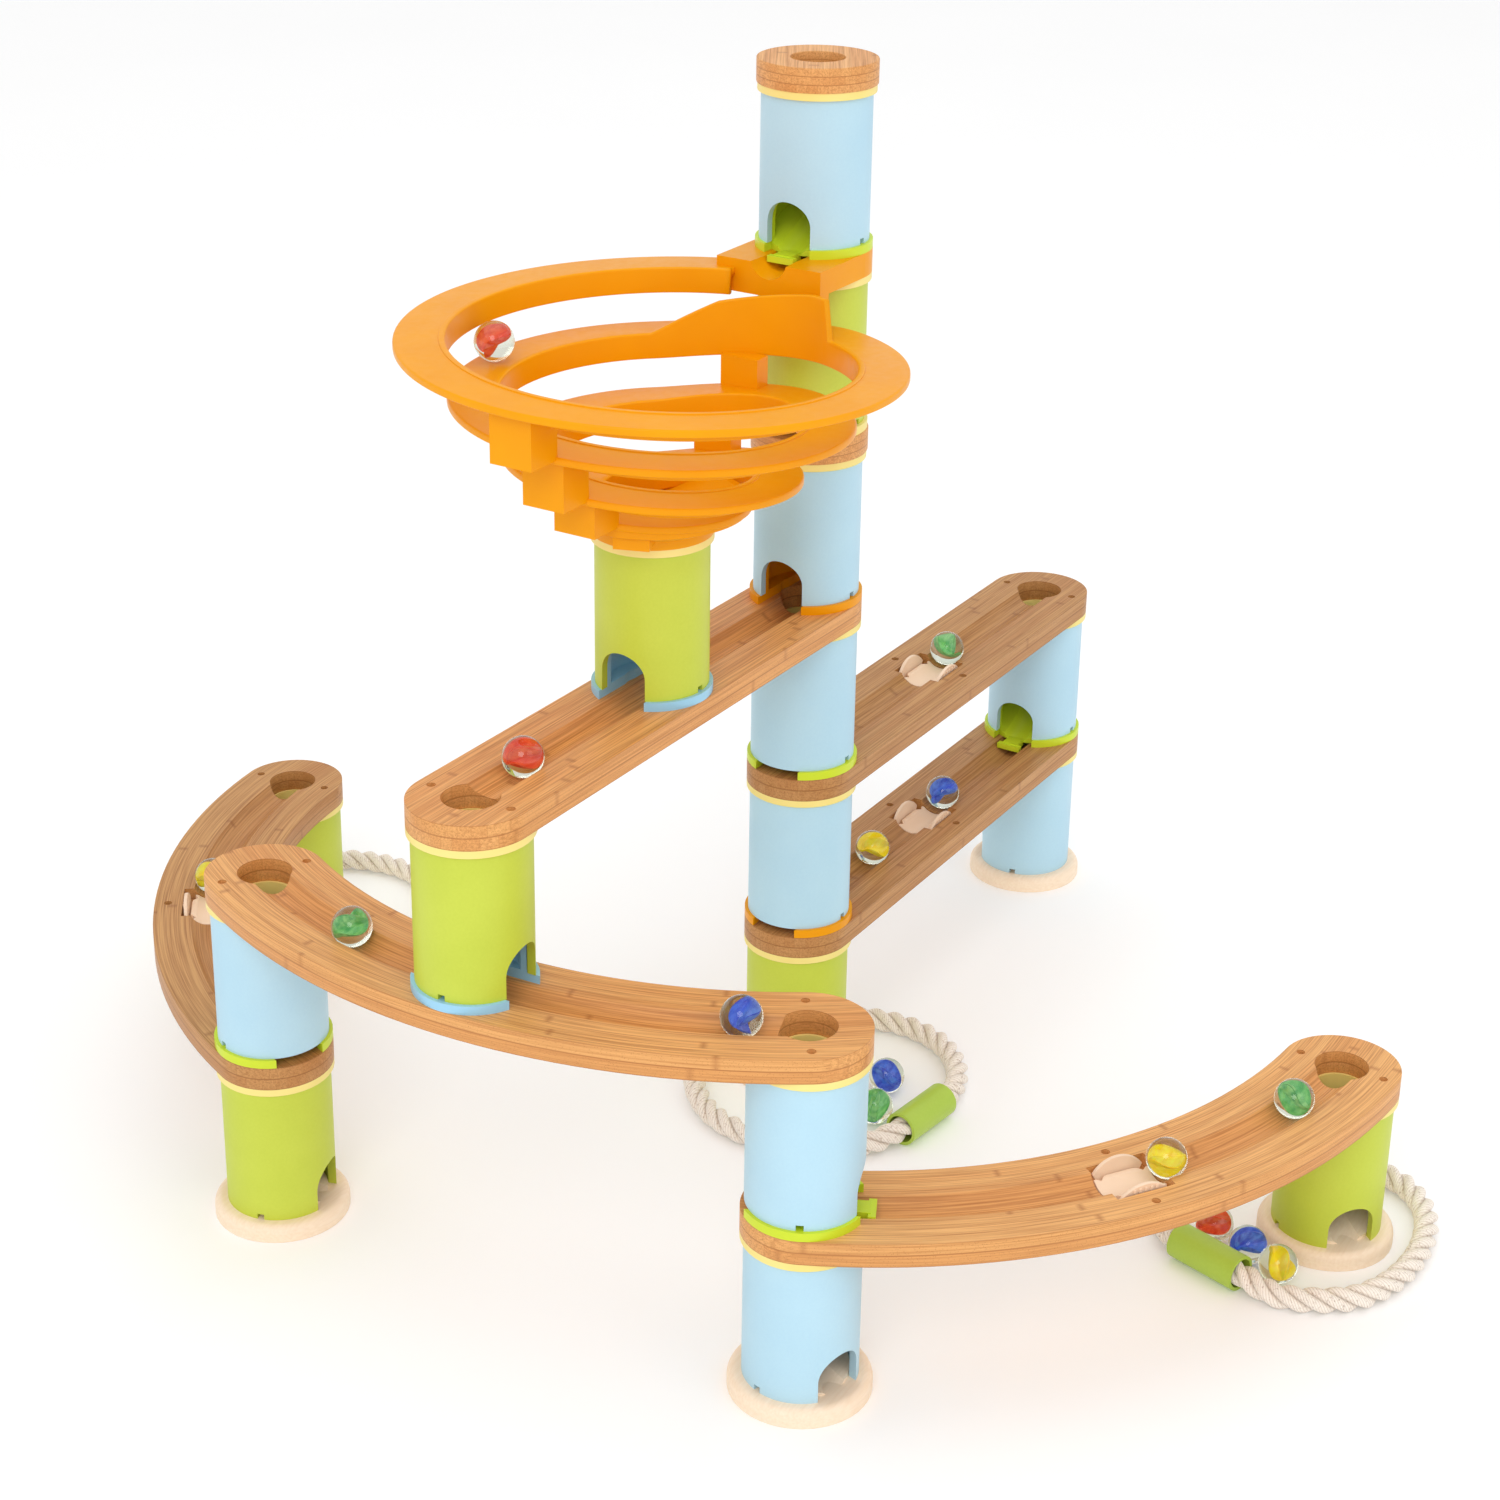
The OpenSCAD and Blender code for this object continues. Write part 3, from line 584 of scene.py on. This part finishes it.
def band_z(a):
    """Height of the ledge, which falls unevenly within each turn."""
    k = int(a // 360)
    u = a / 360 - k
    part = u - 0.1 * math.sin(math.pi * u) ** 2
    return FUNNEL_TOP - min(k, 3) * TURN_DROP - (TURN_DROP if k < 3 else LAST_DROP) * part


def band_r(a):
    """Inner radius of the wall, a ledge's width less after each step."""
    steps = sum(smooth((a - STEP_FROM - 360 * turn) / STEP_RUN) for turn in range(3))
    return RIM_R - LEDGE * (1 + steps)


def fence(a):
    """Height of the fence's top edge at an angle, or 0 where there is no fence."""
    for (a0, z0), (a1, z1) in zip(FENCE, FENCE[1:]):
        if a0 <= a <= a1:
            return z0 + (z1 - z0) * (a - a0) / (a1 - a0)
    return 0


def rounded(corners, radii):
    """The corners of a section, each replaced by a short arc."""
    out = []
    n = len(corners)
    for i in range(n):
        p, before, after = (Vector(corners[k % n]) for k in (i, i - 1, i + 1))
        to_before, to_after = (before - p), (after - p)
        r = min(radii[i], to_before.length * 0.45, to_after.length * 0.45)
        a, b = p + to_before.normalized() * r, p + to_after.normalized() * r
        for t in (0.0, 0.25, 0.5, 0.75, 1.0):
            out.append(a * (1 - t) ** 2 + p * 2 * t * (1 - t) + b * t * t)
    return out


def funnel_band():
    points, faces = [], []
    n = (LAST_ANGLE - FIRST_ANGLE) // ANGLE_STEP
    for i in range(n + 1):
        a = FIRST_ANGLE + i * ANGLE_STEP
        r, z = band_r(a), band_z(a)
        crest = max(fence(a), z + 0.5)
        edge, face = r + LEDGE, r + WALL
        corners = [
            (edge, z), (edge, z - LEDGE_T), (face, z - LEDGE_T), (face, z - SKIRT),
            (r, z - SKIRT), (r, crest), (face, crest), (face, z),
        ]
        section = rounded(corners, [0.9, 0.6, 0.4, 0.7, 0.7, 0.9, 0.9, 0.4])
        out = polar(1, a)
        for q in section:
            points.append((high_perch + out * q[0] + Vector((0, 0, q[1]))) * MM)
    m = len(section)
    for i in range(n):
        for j in range(m):
            k = (j + 1) % m
            faces.append((i * m + j, i * m + k, (i + 1) * m + k, (i + 1) * m + j))
    faces.append(tuple(reversed(range(m))))
    faces.append(tuple(n * m + j for j in range(m)))
    return new_mesh("funnel_spiral", points, faces)


band = funnel_band()
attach(band, "run")
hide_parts("funnel_band")
dress(band, orange_plastic)


# ---------- glass marbles ----------
def glass(name):
    """Clear glass with a faint green tint."""
    s = Shader(name, Roughness=0.02, IOR=1.5, Transmission_Weight=1.0)
    tint = s.noise(s.coords.outputs["Object"], 60, 2)
    s.put("Base Color", s.mix(s.ramp(tint, 0.3, 0.7), srgb(234, 240, 226), srgb(228, 236, 222)))
    return s.mat


def vane(name, light, dark):
    """Streaked colour inside a marble, with a faint painted glow of its own colour to lift it, as the glass
    darkens it.
    """
    s = Shader(name, Roughness=0.4)
    streak = s.noise(s.scaled((90, 520, 520)), 1, 3)
    colour = s.mix(s.ramp(streak, 0.35, 0.65), light, dark)
    s.put("Base Color", colour)
    # painted glow: the vane emits its own colour, though it is no lamp
    s.put("Emission Color", colour)
    s.bsdf.inputs["Emission Strength"].default_value = 0.22
    return s.mat


clear = glass("marble glass")
VANES = {
    "red": vane("vane red", srgb(246, 112, 70), srgb(226, 66, 38)),
    "green": vane("vane green", srgb(150, 214, 136), srgb(84, 178, 104)),
    "yellow": vane("vane yellow", srgb(252, 236, 50), srgb(246, 214, 20)),
    "blue": vane("vane blue", srgb(84, 132, 240), srgb(34, 72, 205)),
}
MARBLE_R = 8 * MM
BLADES = 2


def ball(name, centre, radius):
    """A sphere from a cube, so that its faces are even."""
    n, points, faces, seen = 24, [], [], {}

    def point(axis, sign, i, j):
        u = math.tan((i / n - 0.5) * math.pi / 2)
        v = math.tan((j / n - 0.5) * math.pi / 2)
        p = [0.0, 0.0, 0.0]
        p[axis], p[(axis + 1) % 3], p[(axis + 2) % 3] = sign, u * sign, v
        p = Vector(p).normalized() * radius
        key = tuple(round(c * 1e7) for c in p)
        if key not in seen:
            seen[key] = len(points)
            points.append(centre + p)
        return seen[key]

    for axis in range(3):
        for sign in (1, -1):
            for i in range(n):
                for j in range(n):
                    faces.append(
                        (point(axis, sign, i, j), point(axis, sign, i + 1, j),
                         point(axis, sign, i + 1, j + 1), point(axis, sign, i, j + 1))
                    )
    return new_mesh(name, points, faces)


def swirl(name, centre, tilt):
    """Curved coloured blades that cross on the marble's axis and twist along it."""
    rows, cols = 22, 16
    points, faces = [], []
    for blade in range(BLADES):
        for side in (1, -1):
            start = len(points)
            for i in range(rows + 1):
                t = -0.65 + 1.3 * i / rows
                taper = math.sqrt(max(1 - (t / 0.66) ** 2, 0.0))
                reach = 0.6 * taper
                for j in range(cols + 1):
                    u = 2 * j / cols - 1
                    a = math.pi * blade / BLADES + 1.1 * t + 0.75 * u * abs(u)
                    thick = side * 0.05 * (1 - u * u) * taper
                    p = Vector((math.cos(a) * u * reach - math.sin(a) * thick,
                                math.sin(a) * u * reach + math.cos(a) * thick, t))
                    points.append(centre + tilt @ (p * MARBLE_R))
            w = cols + 1
            for i in range(rows):
                for j in range(cols):
                    here = start + i * w + j
                    q = (here, here + 1, here + w + 1, here + w)
                    faces.append(q if side == 1 else q[::-1])
    return new_mesh(name, points, faces)


MARBLES = {
    "marble_funnel": ("red", (20, 60, 10)),
    "marble_top": ("red", (80, 20, 60)),
    "marble_curve_green": ("green", (60, 35, 20)),
    "marble_curve_blue": ("blue", (75, -20, 110)),
    "marble_left_yellow": ("yellow", (50, 60, 0)),
    "marble_middle_green": ("green", (85, 10, 150)),
    "marble_low_blue": ("blue", (40, 80, 30)),
    "marble_low_yellow": ("yellow", (100, 30, 80)),
    "marble_right_yellow": ("yellow", (70, -45, 40)),
    "marble_right_green": ("green", (30, 70, 120)),
    "marble_floor_red": ("red", (65, 25, 20)),
    "marble_floor_blue": ("blue", (95, 50, 70)),
    "marble_floor_yellow": ("yellow", (45, 15, 130)),
    "marble_floor_navy": ("blue", (110, -15, 10)),
    "marble_floor_green": ("green", (25, 40, 75)),
}
for node, (colour, tilt) in MARBLES.items():
    low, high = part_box(node)
    centre = (Vector(low) + Vector(high)) / 2
    body = body_of(frame["nodes"][node])[0]
    outside = ball(node + "_glass", centre, MARBLE_R)
    dress(outside, clear)
    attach(outside, body)
    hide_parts(node)
    turned = Euler([math.radians(x) for x in tilt]).to_matrix()
    inside = swirl(node + "_vane", centre, turned)
    dress(inside, VANES[colour])
    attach(inside, body)

# ---------- floor and light ----------
floor_mesh = bpy.data.meshes.new("floor")
FLOOR = 8
corners = [(-FLOOR, -FLOOR, 0), (FLOOR, -FLOOR, 0), (FLOOR, FLOOR, 0), (-FLOOR, FLOOR, 0)]
floor_mesh.from_pydata(corners, [], [(0, 1, 2, 3)])
floor = bpy.data.objects.new("floor", floor_mesh)
bpy.context.scene.collection.objects.link(floor)
floor.location = (0, 0, -0.0001)
pale = Shader("floor", Roughness=0.7)
clouds = pale.ramp(pale.noise(pale.coords.outputs["Object"], 3, 2), 0.3, 0.7)
pale.put("Base Color", pale.mix(clouds, (0.95, 0.95, 0.95), (0.94, 0.94, 0.94)))
pale.bsdf.inputs["Emission Color"].default_value = (1, 1, 1, 1)
pale.bsdf.inputs["Emission Strength"].default_value = 0.08
floor_mesh.materials.append(pale.mat)


def area_light(name, at, towards, size, power):
    lamp = bpy.data.objects.new(name, bpy.data.lights.new(name, "AREA"))
    lamp.data.shape = "DISK"
    lamp.data.size = size
    lamp.data.energy = power
    lamp.location = at
    lamp.rotation_euler = (Vector(towards) - Vector(at)).to_track_quat("-Z", "Y").to_euler()
    bpy.context.scene.collection.objects.link(lamp)
    return lamp


key = area_light("key", (-1.9, -0.7, 1.7), (0, 0, 0.2), 1.2, 12)
fill = area_light("fill", (-0.4, -2.0, 1.5), (0, 0, 0.15), 1.4, 4)
top = area_light("top", (0.4, 0.2, 2.6), (0, 0, 0.1), 2.4, 6)

world = bpy.data.worlds.new("studio")
world.use_nodes = True
world.node_tree.nodes["Background"].inputs[0].default_value = (1, 1, 1, 1)
world.node_tree.nodes["Background"].inputs[1].default_value = 0.9
bpy.context.scene.world = world
bpy.context.scene.view_settings.view_transform = "Standard"
